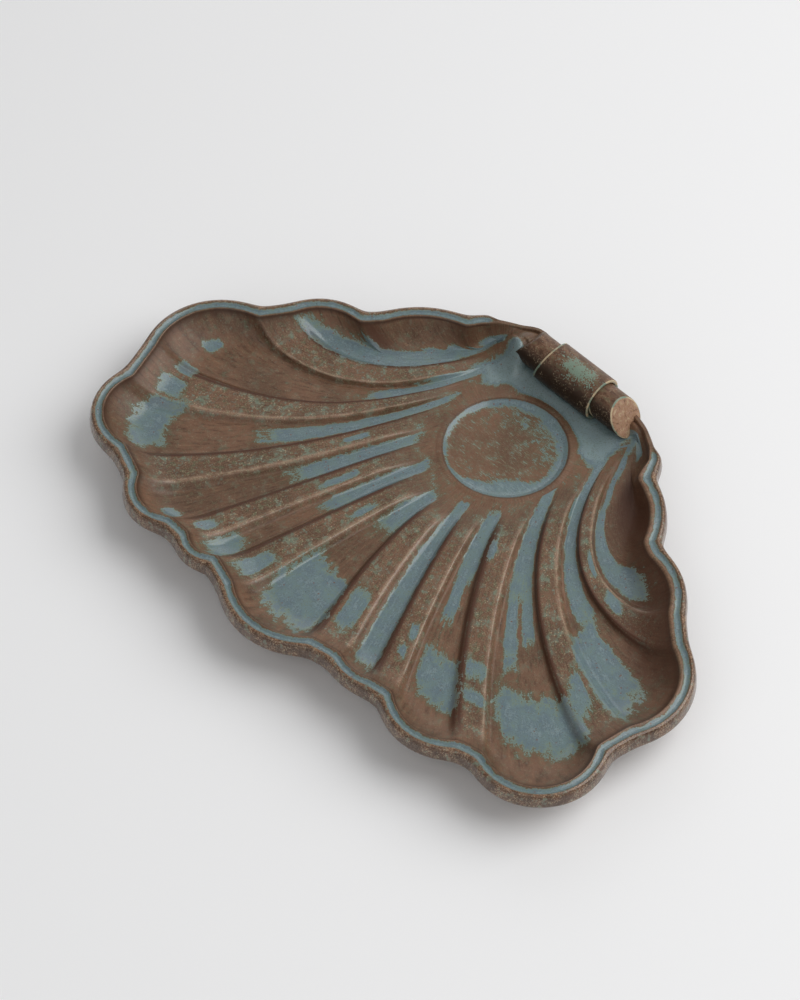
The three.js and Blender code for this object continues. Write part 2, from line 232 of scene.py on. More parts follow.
def shellGlaze():
    sheet = Sheet("shellGlaze")
    place = sheet.place()
    flow = sheet.attribute("flow", "Vector")
    pool, band, edge, wall, bead, crease, outside, well = [sheet.attribute(name) for name in shellMarks]
    run = sheet.grain(sheet.scaled(flow, glaze["run"]), 1.0, 5.0, 0.65)
    turned = sheet.scaled(place, glaze["brush"], (0, 0, math.radians(glaze["brushTurn"])))
    brushed = sheet.grain(turned, 1.0, 4.0, 0.65)
    streak = run + (brushed - run) * well
    fine = sheet.grain(place, glaze["fine"], 3.0, 0.6)
    soft = sheet.grain(place, glaze["soft"])
    broad = sheet.grain(place, glaze["broad"])
    mottle = sheet.grain(sheet.scaled(flow, glaze["mottle"]), 1.0, 4.0, 0.6)
    mottle = mottle + (sheet.grain(place, glaze["blotch"], 3.0, 0.6) - mottle) * 0.6
    # how deep the blue lies, with blotchy edges that feather along the flutes
    feather = (streak - 0.5) * (well * 0.8 + 1.2) + (soft - 0.5) + (mottle - 0.5) + (fine - 0.5) * 0.9
    level = pool + feather
    rough = band * 0.65 + outside * 0.6 + 0.3
    patches = soft.between(0.52, 0.64) * mottle.between(0.4, 0.56)
    grit = fine.between(0.52, 0.66) * rough * mottle.between(0.4, 0.6)
    speckle = sheet.dots(place, *glaze["speckle"]) * rough * soft.between(0.4, 0.6)
    brown = sheet.blend(broad.between(0.35, 0.65), glaze["brown"], glaze["warmBrown"])
    brown = sheet.coats(brown, [
        (streak.between(0.48, 0.68) * 0.6, "chocolate"),
        ((1 - streak.between(0.32, 0.44)) * 0.3, "tan"),
        # mottled green, most on the bands
        (mottle.between(0.48, 0.62) * (band * 0.55 + 0.3), "olive"),
        ((1 - mottle.between(0.34, 0.46)) * (band * 0.45 + 0.2), "teal"),
        (patches * (band * 0.6 + 0.15), "teal"),
        # pale ridges: thin glaze on the edges, with a painted highlight, as only the lit side of each channel
        # is marked
        (edge * soft.between(0.3, 0.6) * 0.6, "ridge"),
        (edge * edge * streak.between(0.44, 0.6) * 0.3, "cream"),
        # outside of the rim
        (outside * mottle.between(0.42, 0.56) * 0.75, "chocolate"),
        (outside * soft.between(0.5, 0.62) * 0.6, "rust"),
        (outside * (1 - mottle.between(0.36, 0.48)) * 0.6, "teal"),
        (outside * fine.between(0.5, 0.62) * soft.between(0.4, 0.55) * 0.45, "cream"),
        # grit
        (grit * 0.38, "cream"),
        ((1 - fine.between(0.36, 0.48)) * rough * 0.4, "chocolate"),
        (speckle * 0.55, "cream"),
        # brushed well
        (well * brushed.between(0.56, 0.68) * 0.4, "cream"),
        (well * (1 - brushed.between(0.34, 0.46)) * soft.between(0.42, 0.6), "teal"),
        (level.between(0.16, 0.46) * 0.6, "olive"),  # round the pools
    ])
    blue = sheet.blend(soft.between(0.38, 0.64), glaze["blue"], glaze["deepBlue"])
    blue = sheet.coats(blue, [
        ((1 - level.between(0.5, 0.85)) * 0.85, "teal"),
        # paler blue where the level passes full: real variation in the pools, and painted light in the basin
        (level.between(0.95, 1.4) * 0.55, "paleBlue"),
        ((1 - fine.between(0.36, 0.5)) * 0.3, "olive"),
    ])
    mask = level.between(0.44, 0.56)
    freckles = sheet.dots(place, *glaze["freckle"]) * soft.between(0.46, 0.58) * mask
    pinholes = sheet.dots(place, *glaze["pin"])
    face = sheet.coats(sheet.blend(mask, brown, blue), [
        (bead * fine.between(0.38, 0.56) * mottle.between(0.35, 0.55) * 0.8, "tan"),
        # painted shade: darker in the crease at the foot of the rim's inner bead; the crease mark also draws
        # a dark line round the well's edge
        (crease * 0.85, "chocolate"),
        # rust on the steep walls, with painted shade: the wall mark lies only on the side facing away from
        # the light, and near the ears
        (wall * (1 - mask * 0.7) * 0.95, "rustAndShade"),
        (freckles * 0.7, "rust"),
        (pinholes * 0.8, "pinhole"),
    ])
    shiny = mask.higher(outside).higher(bead).higher(edge * 0.8)
    gloss = glaze["roughness"] + (glaze["poolRoughness"] - glaze["roughness"]) * shiny + (fine - 0.5) * 0.16
    coat = glaze["coat"] + (glaze["poolCoat"] - glaze["coat"]) * shiny
    height = mask * 0.35 + grit * 0.3 + fine * 0.3 + soft * 0.4
    normal = sheet.relief(height, glaze["bump"], glaze["bumpDepth"])
    return sheet.finish({"Base Color": face, "Roughness": gloss, "Specular IOR Level": glaze["specular"],
                         "Coat Weight": coat, "Coat Roughness": glaze["coatRoughness"], "Normal": normal})


def scrollGlaze():
    sheet = Sheet("scrollGlaze")
    place = sheet.place()
    line, disc, patch, low = [sheet.attribute(name) for name in scrollMarks]
    fine = sheet.grain(place, glaze["scrollFine"], 4.0, 0.6)
    soft = sheet.grain(place, glaze["scrollSoft"])
    mottle = sheet.grain(sheet.scaled(place, glaze["scrollMottle"]), 1.0, 4.0, 0.6)
    grit = fine.between(0.54, 0.68) * soft.between(0.4, 0.6)
    level = patch + (soft - 0.5) * 0.8 + (mottle - 0.5) * 1.2 + (fine - 0.5) * 2.6
    brown = sheet.blend(soft.between(0.35, 0.65), glaze["brown"], glaze["warmBrown"])
    brown = sheet.coats(brown, [
        (mottle.between(0.46, 0.62) * 0.6, "chocolate"),
        ((1 - mottle.between(0.36, 0.48)) * 0.5, "olive"),
        # painted shade low on the front of the roll
        (low, "rollShade"),
        (grit * 0.55, "cream"),
        (level.between(0.5, 0.7), "teal"),
    ])
    clay = sheet.blend(fine.between(0.4, 0.6), glaze["disc"], glaze["tan"])
    clay = sheet.coats(clay, [
        (mottle.between(0.54, 0.66) * 0.6, "cream"),
        ((1 - mottle.between(0.34, 0.44)) * 0.7, "brown"),
    ])
    pale = sheet.blend(soft.between(0.4, 0.6), glaze["teal"], glaze["cream"])
    face = sheet.blend(disc, brown, clay)
    face = sheet.blend((line + (fine - 0.5) * 0.7).between(0.4, 0.6), face, pale)
    rough = glaze["roughness"] + (fine - 0.5) * 0.2 + disc * glaze["discRoughness"]
    normal = sheet.relief(grit * 0.4 + fine * 0.4 + soft * 0.4, glaze["bump"], glaze["bumpDepth"])
    return sheet.finish({"Base Color": face, "Roughness": rough, "Specular IOR Level": glaze["specular"],
                         "Coat Weight": glaze["coat"], "Coat Roughness": glaze["scrollCoatRoughness"],
                         "Normal": normal})


def footClay():
    sheet = Sheet("footClay")
    place = sheet.place()
    fine = sheet.grain(place, glaze["clayFine"], 4.0, 0.65)
    soft = sheet.grain(place, glaze["claySoft"])
    grit = sheet.dots(place, *glaze["clayGrit"])
    face = sheet.blend(soft.between(0.35, 0.65), glaze["clay"], glaze["clayDark"])
    face = sheet.blend(grit * 0.6, face, glaze["chocolate"])
    rough = glaze["clayRoughness"] + (fine - 0.5) * 0.2
    normal = sheet.relief(fine + grit * 0.5, glaze["clayBump"], glaze["clayBumpDepth"])
    return sheet.finish({"Base Color": face, "Roughness": rough, "Normal": normal})


# Shell: flutes from a hub round the well to the lobes of the rim

shell = {
    "floor": 15.0,  # table to the floor round the well
    "groove": 27.0,  # table to the bottom of the rim groove
    "footHeight": 7.0,
    "wellRadius": 32.7, "wellDepth": 1.6, "wellSlope": 3.0,
    "ringWidth": 3.4, "ringRise": 0.3, "hubMargin": 0.3,
    "bandHeight": 3.5, "bandRamp": 0.24,
    "bandWall": 3.6, "bowlWall": 5.5, "bowl": (0.6, 0.95), "wallShare": 0.45,  # run of a channel's side walls
    "channelShare": 0.56, "channelDip": 0.8,
    "wallRun": 22.0, "wallLimit": 0.75, "wallPower": 2.4,
    "grooveWidth": 3.2, "innerBead": 1.4, "broadBead": 2.8, "outerBead": 3.0, "beadRise": 1.4,
    "broadStart": (3.0, 4.5), "broadEnd": (6.4, 6.9),  # flutes between which the inner bead swells
    "flankHeight": 6.0, "flankRun": 0.7, "lip": 0.8,
    "hingeRim": 0.4, "beadFade": 0.45,
    "underRun": 36.0, "underLimit": 0.9, "underPower": 2.6,
    "padX": 104.0, "padY": 69.0, "padCentre": -68.0,
    "step": 1.7, "leastSteps": 5, "crowding": 0.6,  # columns of the grid along the rim
    "apronRows": 7, "fluteRows": 46, "rowCrowding": 1.3, "underRows": 10,  # rows along a column
    "innerSoftness": 1.5, "outerSoftness": 5.0, "turnSoftness": 6.0,  # rounding of the rim's corners
    "unevenness": 0.18, "waveLength": 23.0,  # hand-made waviness
    "earRounds": 16, "earFlute": 6.7, "earAcross": (32.0, 62.0), "earFront": 24.0,  # evening out of the ears
    "flowStep": 20.0,  # steps of the flow across one flute
    # blue in the well: a ring that swells to one side, a tongue at the front and flecks at the back
    "ringPool": 3.2, "ringSwell": 1.8, "swellTurn": 45.0, "ringDepth": 1.1, "ringShore": (-3.0, 2.0),
    "tongue": 9.0, "tongueTurn": -50.0, "tongueHalf": 62.0, "ringBare": (-1.1, 0.3), "brushed": (-4.7, -0.7),
    "fleckLeast": 0.1, "fleckMost": 0.34, "fleckReach": (6.0, 22.0), "fleckTurn": 75.0, "fleckHalf": 110.0,
    # blue in the basin round it: its shore at the front and at the back, and the turns between them; its
    # depth is set past full, which paints it paler: painted light against the roll's shade
    "frontShore": 6.5, "backShore": 0.3, "rightTurn": (28.0, 48.0), "leftTurn": (112.0, 138.0),
    "shoreHalf": 2.0, "basinFlutes": (3.5, 4.2), "basinBlueAndLight": 1.4, "bareDepth": 2.2, "basinEnd": (0.0, 0.1),
    "thinBlue": 0.2, "thinFlute": 4.0, "thinEnd": (0.1, 0.4), "dripsFrom": -4.5,
    "earBlue": (6.4, 6.8), "earEnd": (0.55, 0.8), "rightEarShort": 1.9, "earBare": (5.0, 9.0),
    # marks along the flutes' edges (painted shade over rust on one side, painted highlight over thin glaze on
    # the other), and the flute where they end
    "markStart": (0.06, 0.2), "markEnd": (0.9, 0.98), "ridgeWidth": (0.2, 1.9), "markedTo": 5.2,
}
lobes = [
    {"right": {"start": (-29, -167), "end": (24, -162), "bow": 10.4, "hub": (-3, -43), "bend": (-12, -100)},
     "left": {"start": (-24, -162), "end": (29, -167), "bow": 10.4, "hub": (3, -43), "bend": (12, -100)}},
    {"right": {"start": (40, -158.5), "end": (62, -158.5), "bow": 2.5, "hub": (11, -43), "bend": (24, -95)},
     "left": {"start": (46, -161.5), "end": (67, -162), "bow": 4.8, "hub": (20, -36), "bend": (40, -97)}},
    {"right": {"start": (74, -156.5), "end": (118, -153), "bow": 9, "hub": (24, -29), "bend": (43, -86)},
     "left": {"start": (80, -162), "end": (113, -154), "bow": 8.2, "hub": (33, -20), "bend": (59, -86)}},
    {"right": {"start": (130, -150), "end": (168, -105), "bow": 22.5, "hub": (36, -5), "bend": (65, -75)},
     "left": {"start": (132, -147), "end": (164, -112), "bow": 13.7, "hub": (42, 8), "bend": (72, -86)}},
    {"right": {"start": (171.5, -87), "end": (153, -34), "bow": 13, "hub": (42, 30), "bend": (66, -62)},
     "left": {"start": (171, -90), "end": (147, -36), "bow": 14.8, "hub": (44, 30), "bend": (70, -61)}},
    {"right": {"start": (138, -20.5), "end": (106, -1), "bow": 5, "hub": (44, 43.5), "bend": (80, -45)},
     "left": {"start": (137, -21), "end": (107, 0), "bow": 6.5, "hub": (50, 44), "bend": (77, -16)}},
    {"right": {"start": (99.5, 2.5), "end": (70, 29.5), "bow": 5, "hub": (46, 47), "bend": (62, 22)},
     "left": {"start": (99, 9.5), "end": (66, 38), "bow": 5, "hub": (52, 46), "bend": (62, 22)}},
]
# tip of the rim, ear beside the scroll, end of the scroll, middle of the back
hinge = [
    {"right": (65, 42), "left": (61, 46), "hub": (47, 49), "bend": (56, 46),
     "rightDrop": 0.0, "leftDrop": 0.0},
    {"right": (48.5, 53), "left": (46, 56), "hub": (44.5, 50), "bend": (45, 51),
     "rightDrop": 2.0, "leftDrop": 1.0},
    {"right": (34, 58.5), "left": (34, 60), "hub": (36, 47.5), "bend": (35, 53),
     "rightDrop": 4.0, "leftDrop": -2.0},
    {"right": (0, 61), "left": (0, 61), "hub": (0, 41), "bend": (0, 50),
     "rightDrop": 7.0, "leftDrop": 7.0},
]
# rise of the ears' floors towards the ends of the scroll
ears = {
    "right": {"rise": 11.0, "inside": 33.0, "near": 44.0, "far": 68.0, "front": 40.0, "back": 56.0},
    "left": {"rise": 15.0, "inside": 26.0, "near": 35.0, "far": 60.0, "front": 33.0, "back": 47.0},
}
earStep = 7.0  # run of an ear's inner slope
scroll = {
    "fromWell": 51.5, "radius": 9.8, "length": 72.0, "edge": 1.0, "dish": 0.4,
    "slant": 0.65, "leftSlant": 1.3,
    "sleeveLength": 38.0, "sleeveWall": 2.0, "sleeveEdge": 0.8, "gap": 0.3, "stepLean": 0.3,
    "seatRise": 3.0, "seatFront": (35.0, 43.0), "seatEnd": (34.0, 42.0),
    "rightLap": 2.0, "leftLap": 6.0, "lapTurn": 4.0,  # laps of the ears over the ends of the roll
    "sides": 72, "shade": (-0.4, 0.8), "shadeDrop": 0.7,
}
coreLow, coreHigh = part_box("scroll_core")
axis = (coreLow + coreHigh) / 2 / mm
wellX, wellY = axis.x, axis.y - scroll["fromWell"]
sleeveRadius = scroll["radius"] + scroll["gap"] + scroll["sleeveWall"]

# pools of blue: flute (left ones below 0), half width in flutes, start and end along the flute, lean
pools = [
    (1.02, 0.18, -0.3, 0.92, 0), (1.6, 0.08, 0.67, 0.74, 0), (1.54, 0.09, 0.77, 0.82, 0),
    (2.02, 0.16, 0.04, 0.40, 0), (2.0, 0.09, 0.3, 0.56, 0), (2.06, 0.2, 0.69, 0.86, 0.1),
    (2.52, 0.2, 0.69, 0.75, 0), (2.52, 0.2, 0.79, 0.835, 0), (2.35, 0.08, 0.2, 0.3, 0),
    (3.0, 0.16, -0.3, 0.44, 0), (2.92, 0.06, 0.4, 0.64, 0), (3.1, 0.07, 0.4, 0.58, 0),
    (3.02, 0.2, 0.73, 0.88, 0.2), (3.2, 0.1, 0.8, 0.93, 0), (3.47, 0.15, 0.78, 0.9, -0.2),
    (3.3, 0.06, 0.86, 0.95, 0), (4.0, 0.14, -0.5, 0.66, 0), (3.86, 0.07, 0.12, 0.22, 0),
    (3.86, 0.16, 0.64, 0.93, -0.2), (4.56, 0.13, 0.68, 0.79, 0), (4.6, 0.08, 0.44, 0.58, 0),
    (5.04, 0.18, 0.24, 0.91, 0), (5.2, 0.2, 0.1, 0.32, 0), (5.42, 0.3, 0.02, 0.18, 0),
    (5.7, 0.45, -0.5, 0.06, 0),
    (0.0, 0.2, 0.03, 0.33, 0), (0.0, 0.25, 0.61, 0.9, 0.1), (0.5, 0.14, 0.64, 0.86, 0),
    (-0.5, 0.12, 0.78, 0.95, 0), (-0.45, 0.08, 0.3, 0.42, 0),
    (-1.0, 0.17, 0.0, 0.46, 0), (-1.05, 0.16, 0.8, 0.95, 0), (-1.52, 0.11, 0.86, 0.94, 0),
    (-1.45, 0.1, 0.3, 0.45, 0), (-2.0, 0.17, 0.05, 0.52, 0), (-1.93, 0.07, 0.9, 0.95, 0),
    (-2.5, 0.08, 0.25, 0.34, 0), (-3.0, 0.14, 0.0, 0.56, 0), (-3.08, 0.21, 0.84, 0.94, 0),
    (-3.45, 0.12, 0.88, 0.95, 0), (-3.72, 0.06, 0.88, 0.94, 0),
    (-4.0, 0.14, -0.3, 0.38, 0), (-3.96, 0.05, 0.9, 0.935, 0), (-4.08, 0.22, -0.3, 0.22, 0),
    (-5.0, 0.28, 0.1, 0.88, 0.6), (-5.6, 0.46, 0.0, 0.7, 0.4), (-6.0, 0.6, -0.2, 0.34, 0),
    (-5.3, 0.06, 0.5, 0.94, 0), (-5.82, 0.06, 0.3, 0.68, 0), (-6.04, 0.07, 0.3, 0.62, 0),
    (-6.25, 0.05, 0.2, 0.54, 0),
]
# a pool is full within core half widths and gone at reach; its ends soften over most of its length at most
poolEdges = {"core": 0.65, "reach": 1.4, "start": 0.06, "end": 0.1, "most": 0.35}
# bare brown patches of the basin before the ears: middle, turn in degrees, half length, half width
barePatches = [((-48.121, 39.419), 45.607, 15.0, 8.0), ((47.0, 33.0), -72.851, 24.0, 8.0)]
# painted shade on the walls near the ears: flute, half width, start and end of its growth along the flute,
# share
paintedWallShade = [(5.9, 0.7, 0.2, 0.45, 0.9), (-5.42, 0.32, 0.6, 0.85, 0.8), (-6.35, 0.28, 0.45, 0.7, 0.6)]
paintedRimShade = {"flutes": (3.8, 4.2), "growth": (0.72, 0.9), "share": 0.7}  # and painted shade along the right side


def poolDepth(flute, s):
    deepest = 0.0
    for middle, half, start, end, lean in pools:
        across = 1 - smooth(half * poolEdges["core"], half * poolEdges["reach"], abs(flute - middle))
        if across > 0:
            place = s - lean * (flute - middle)
            most = (end - start) * poolEdges["most"]
            head, tail = min(poolEdges["start"], most), min(poolEdges["end"], most)
            along = smooth(start - head, start + head, place) * (1 - smooth(end - tail, end + tail, place))
            deepest = max(deepest, across * along)
    return deepest


# painted shade: how much darker a wall is near the ears and along the right side
def paintedShadeAt(flute, s):
    darkest = smooth(*paintedRimShade["flutes"], flute) * smooth(*paintedRimShade["growth"], s) * paintedRimShade["share"]
    for middle, half, start, end, share in paintedWallShade:
        darkest = max(darkest, bump(flute, middle, half) * smooth(start, end, s) * share)
    return darkest


def lobePoint(arc, t):
    start, end = Vector(arc["start"]), Vector(arc["end"])
    chord = (end - start).length
    radius = chord * chord / (8 * arc["bow"]) + arc["bow"] / 2
    turn = math.asin(chord / 2 / radius) * (2 * t - 1)
    forward = (end - start) / chord
    outward = Vector((forward.y, -forward.x))
    return (start + forward * (chord / 2 + radius * math.sin(turn))
            + outward * (arc["bow"] - radius * (1 - math.cos(turn))))


def fluteKey(side, name, flute):
    keys = [lobe[side] for lobe in lobes] + hinge
    k = min(int(flute), len(keys) - 2)
    return Vector(keys[k][name]).lerp(Vector(keys[k + 1][name]), flute - k)


# stations along one half of the rim, front to the middle of the back
def halfStations(side):
    found = []

    def put(rim, flute, kind, t, drop=0.0):
        hub = fluteKey(side, "hub", flute)
        least = shell["wellRadius"] + shell["ringWidth"] + shell["hubMargin"]
        hub *= max(1, least / hub.length)
        found.append({"rim": rim, "flute": flute, "kind": kind, "t": t, "drop": drop, "hub": hub,
                      "bend": fluteKey(side, "bend", flute)})

    def steps(length):
        return max(shell["leastSteps"], round(length / shell["step"]))

    def crowd(t):  # closer together at both edges of a channel or band
        return t - shell["crowding"] * math.sin(2 * math.pi * t) / (2 * math.pi)

    half = shell["channelShare"] / 2
    for k, lobe in enumerate(lobes):
        arc = lobe[side]
        start, end = Vector(arc["start"]), Vector(arc["end"])
        count = steps((end - start).length + arc["bow"])
        for i in range(count // 2 if k == 0 else 0, count + 1):
            t = 0.5 if k == 0 and i == count // 2 else crowd(i / count)
            put(lobePoint(arc, t), k + (t - 0.5) * shell["channelShare"], ("channel", k), t)
        last = k + 1 == len(lobes)
        landing = Vector(hinge[0][side] if last else lobes[k + 1][side]["start"])
        count = steps((landing - end).length)
        for i in range(1, count):
            t = crowd(i / count)
            flute = mix(k + half, k + 1 if last else k + 1 - half, t)
            put(end.lerp(landing, t), flute, ("band", k), t)
    for k in range(1, len(hinge)):
        before, after = hinge[k - 1], hinge[k]
        a, b = Vector(before[side]), Vector(after[side])
        count = steps((b - a).length)
        for i in range(count + (k + 1 == len(hinge))):
            t = i / count
            drop = mix(before[side + "Drop"], after[side + "Drop"], smooth(0, 1, t))
            put(a.lerp(b, t), len(lobes) + k - 1 + t, ("hinge", k), t, drop)
    return found


# mean of each point's neighbours along a closed line, weighted by distance
def softLine(points, spread):
    count = len(points)
    steps = [(points[(i + 1) % count] - p).length for i, p in enumerate(points)]
    line = []
    for i, p in enumerate(points):
        weight = (steps[i] + steps[i - 1]) / 2
        total = p * weight
        for way in (1, -1):
            j = i
            run = 0.0
            while run < spread * 3:
                run += steps[j] if way > 0 else steps[j - 1]
                j = (j + way) % count
                share = math.exp(-0.5 * (run / spread) ** 2) * (steps[j] + steps[j - 1]) / 2
                total = total + points[j] * share
                weight += share
        line.append(total / weight)
    return line


def outwards(line):
    count = len(line)
    found = []
    for i in range(count):
        along = line[(i + 1) % count] - line[i - 1]
        found.append(Vector((along.y, -along.x)).normalized())
    return found


def ringOfStations():
    right, left = halfStations("right"), halfStations("left")
    for station in left:
        for name in ("rim", "hub", "bend"):
            station[name].x *= -1
        station["flute"] *= -1
    ring = right + left[-2:0:-1]
    rim = [station["rim"] for station in ring]
    inner, outer = softLine(rim, shell["innerSoftness"]), softLine(rim, shell["outerSoftness"])
    outerTurn = outwards(outer)
    innerTurn = [Vector((*p, *turn)) for p, turn in zip(inner, outwards(inner))]
    innerTurn = softLine(innerTurn, shell["turnSoftness"])
    for i, station in enumerate(ring):
        heading = station["hub"].normalized()
        section = rimSection(station["flute"])
        station["heading"], station["wellTurn"] = heading, math.degrees(math.atan2(heading.y, heading.x))
        station["inner"], station["outer"] = inner[i], outer[i]
        station["innerOut"] = Vector(innerTurn[i][2:]).normalized()
        station["outerOut"] = outerTurn[i]
        station["section"], station["crest"] = section, shell["groove"] - station["drop"]
        station["end"] = inner[i] + station["innerOut"] * section["line"][0].x
    left[0]["end"], left[-1]["end"] = right[0]["end"], right[-1]["end"]
    # the two edges of the channel or band that each station is in
    for half, other in ((right, left), (left, right)):
        for station in half:
            same = [s for s in half if s["kind"] == station["kind"]]
            station["first"], station["last"] = same[0], same[-1]
            if station["kind"] == ("channel", 0):
                station["first"] = [s for s in other if s["kind"] == station["kind"]][-1]
    return ring


def flutePoint(station, s):
    hub, bend, end = station["hub"], station["bend"], station["end"]
    return hub.lerp(bend, s).lerp(bend.lerp(end, s), s)


# distance to the nearer edge of the channel or band, and its width
def toEdge(station, s):
    width = (flutePoint(station["first"], s) - flutePoint(station["last"], s)).length
    return min(station["t"], 1 - station["t"]) * width, width


# 1 on the floor of a channel, 0 on a band
def channelAt(station, s):
    kind, number = station["kind"]
    last = len(lobes) - 2  # from this channel one smooth slope runs on to the ear
    if kind == "hinge" or number > last or (number == last and (kind == "band" or station["t"] > 0.5)):
        return 1.0
    if kind == "band":
        return 0.0
    near, width = toEdge(station, s)
    wall = mix(shell["bandWall"], shell["bowlWall"], smooth(*shell["bowl"], s))
    return smooth(0, min(wall, width * shell["wallShare"]), near)


# section of the rim: distance out from the groove line and height over the bottom of the groove
def rimSection(flute):
    bead = 1 - smooth(len(lobes), len(lobes) + shell["beadFade"], abs(flute))
    width = mix(shell["hingeRim"], 1, bead)
    groove = shell["grooveWidth"] / 2 * width
    broad = smooth(*shell["broadStart"], flute) * (1 - smooth(*shell["broadEnd"], flute))
    inside = groove + mix(shell["innerBead"], shell["broadBead"], broad) * width
    shoulder = groove + shell["outerBead"] * width
    rise = shell["beadRise"]
    edge = mix(rise, rise / 2, bead)
    top = mix(groove, shoulder, 0.4)
    points = [(-inside, 0), (-(inside + groove) / 2, rise * 0.8), (-groove, edge), (0, rise * (1 - bead)),
              (groove, edge), (mix(groove, top, 0.55), rise), (top, rise),
              (mix(top, shoulder, 0.6), rise * 0.6)]
    run = shell["flankRun"] * width
    for part in (0.0, 0.25, 0.6, 1.0):
        points.append((shoulder + run * math.sin(part * math.pi / 2), mix(-0.6, -shell["flankHeight"], part)))
    points.append((shoulder + run - shell["lip"], -shell["flankHeight"] - shell["lip"]))
    return {"line": curveThrough(points, 3), "groove": groove, "inside": inside, "bead": bead}


def earRise(x, y):
    ear = ears["right" if x > 0 else "left"]
    out = abs(x)
    seat = scroll["seatRise"] * smooth(*scroll["seatFront"], y) * (1 - smooth(*scroll["seatEnd"], out))
    across = smooth(ear["inside"], ear["inside"] + earStep, out) * (1 - smooth(ear["near"], ear["far"], out))
    return ear["rise"] * across * smooth(ear["front"], ear["back"], y) + seat


def fluteHeight(station, s, p):
    length = (station["rim"] - station["hub"]).length
    wall = min(shell["wallLimit"], shell["wallRun"] / length)
    band = shell["bandHeight"] * smooth(0, shell["bandRamp"], s) * (1 - channelAt(station, s))
    dip = shell["channelDip"] * smooth(0, 1 - wall, s) * smooth(0, shell["wallRun"] * 2, length)
    up = max(0.0, (s - 1 + wall) / wall) ** shell["wallPower"]
    return mix(shell["floor"] + band - dip + earRise(p.x, p.y), station["crest"], up)


# the seat under the scroll: the shell stays clear of the roll laid in it
def underScroll(x, y, z):
    across = y - scroll["fromWell"]
    for radius, half, slant in ((sleeveRadius, scroll["sleeveLength"] / 2, 0.0),
                                (scroll["radius"], scroll["length"] / 2, scroll["slant"])):
        reach = radius + scroll["gap"]
        if abs(across) < reach:
            deep = math.sqrt(reach * reach - across * across)
            end = half + scroll["gap"]
            if slant and x > 0:  # the ears lap the ends of the roll
                lap = smooth(-scroll["lapTurn"], scroll["lapTurn"], across)
                end = mix(end + slant * deep, half - scroll["rightLap"], lap)
            elif slant:
                end = half - scroll["leftLap"]
            if abs(x) < end:
                z = min(z, axis.z - deep)
    return z


# blue of the basin round the well, with its bare patches, painted paler as painted light against the roll's
# shade
def basinBlue(station, p):
    turn = station["wellTurn"]
    back = smooth(*shell["rightTurn"], turn) * (1 - smooth(*shell["leftTurn"], turn))
    shore = shell["wellRadius"] + shell["ringWidth"] + mix(shell["frontShore"], shell["backShore"], back)
    bare = 0.0
    for middle, heading, long, wide in barePatches:
        out = p - Vector(middle)
        c, s = math.cos(math.radians(heading)), math.sin(math.radians(heading))
        bare = max(bare, bump(out.x * c + out.y * s, 0, long) * bump(out.x * s - out.y * c, 0, wide))
    basin = smooth(*shell["basinFlutes"], abs(station["flute"]))
    basin *= smooth(shore - shell["shoreHalf"], shore + shell["shoreHalf"], p.length)
    return basin * (shell["basinBlueAndLight"] - shell["bareDepth"] * bare)


# blue of a flute: its pools, the ears, the end of the basin and a thin coat near the well
def fluteBlue(station, s, p):
    flute = station["flute"]
    ear = smooth(*shell["earBlue"], abs(flute))
    ear *= 1 - smooth(*shell["earEnd"], s if flute < 0 else s * shell["rightEarShort"])
    basin = basinBlue(station, p) * (1 - smooth(*shell["basinEnd"], s))
    thin = shell["thinBlue"] * (1 - smooth(*shell["thinEnd"], s))
    bare = smooth(*shell["earBare"], earRise(p.x, p.y)) * (p.x < 0)  # top of the left ear
    return max(poolDepth(flute, s), ear, basin, thin) * (1 - bare)


# rows of a column: the well and the apron round it
def wellRows(station, put):
    heading, turn, flute = station["heading"], station["wellTurn"], station["flute"]
    edge, depth = shell["wellRadius"], shell["wellDepth"]
    wide = edge + shell["ringWidth"]
    slope = edge - shell["wellSlope"]
    wellRim = [(slope, -depth), (edge, shell["ringRise"] / 2),
               (edge + shell["ringWidth"] / 2, shell["ringRise"]), (wide, 0)]
    bottom = [(part * slope, -depth) for part in (0, 0.2, 0.4, 0.6, 0.75, 0.85, 0.93)]
    shore = edge - shell["ringPool"] - shell["tongue"] * bump(turn, shell["tongueTurn"], shell["tongueHalf"])
    shore -= shell["ringSwell"] * math.cos(math.radians(turn - shell["swellTurn"]))
    flecked = shell["fleckMost"] * bump(turn, shell["fleckTurn"], shell["fleckHalf"])
    for radius, z in bottom + [tuple(p) for p in curveThrough(wellRim, 4)]:
        out = radius - edge
        flecks = shell["fleckLeast"] + flecked * smooth(*shell["fleckReach"], radius)
        pool = mix(flecks, shell["ringDepth"], smooth(*shell["ringShore"], radius - shore))
        put(heading.x * radius, heading.y * radius, shell["floor"] + z, radius - wide,
            pool=pool * (1 - smooth(*shell["ringBare"], out)),
            crease=bump(out, 0.1, 0.9) * 0.8, well=1 - smooth(*shell["brushed"], out))
    apron = station["hub"] - heading * wide
    rows = shell["apronRows"]
    for i in range(1, rows):
        part = i / rows
        p = heading * wide + apron * part
        drips = poolDepth(flute, part - 1) * (flute > shell["dripsFrom"])
        thin = shell["thinBlue"] * (abs(flute) < shell["thinFlute"])
        put(p.x, p.y, shell["floor"] + earRise(p.x, p.y), apron.length * part,
            pool=max(drips, basinBlue(station, p), thin))
    return apron.length


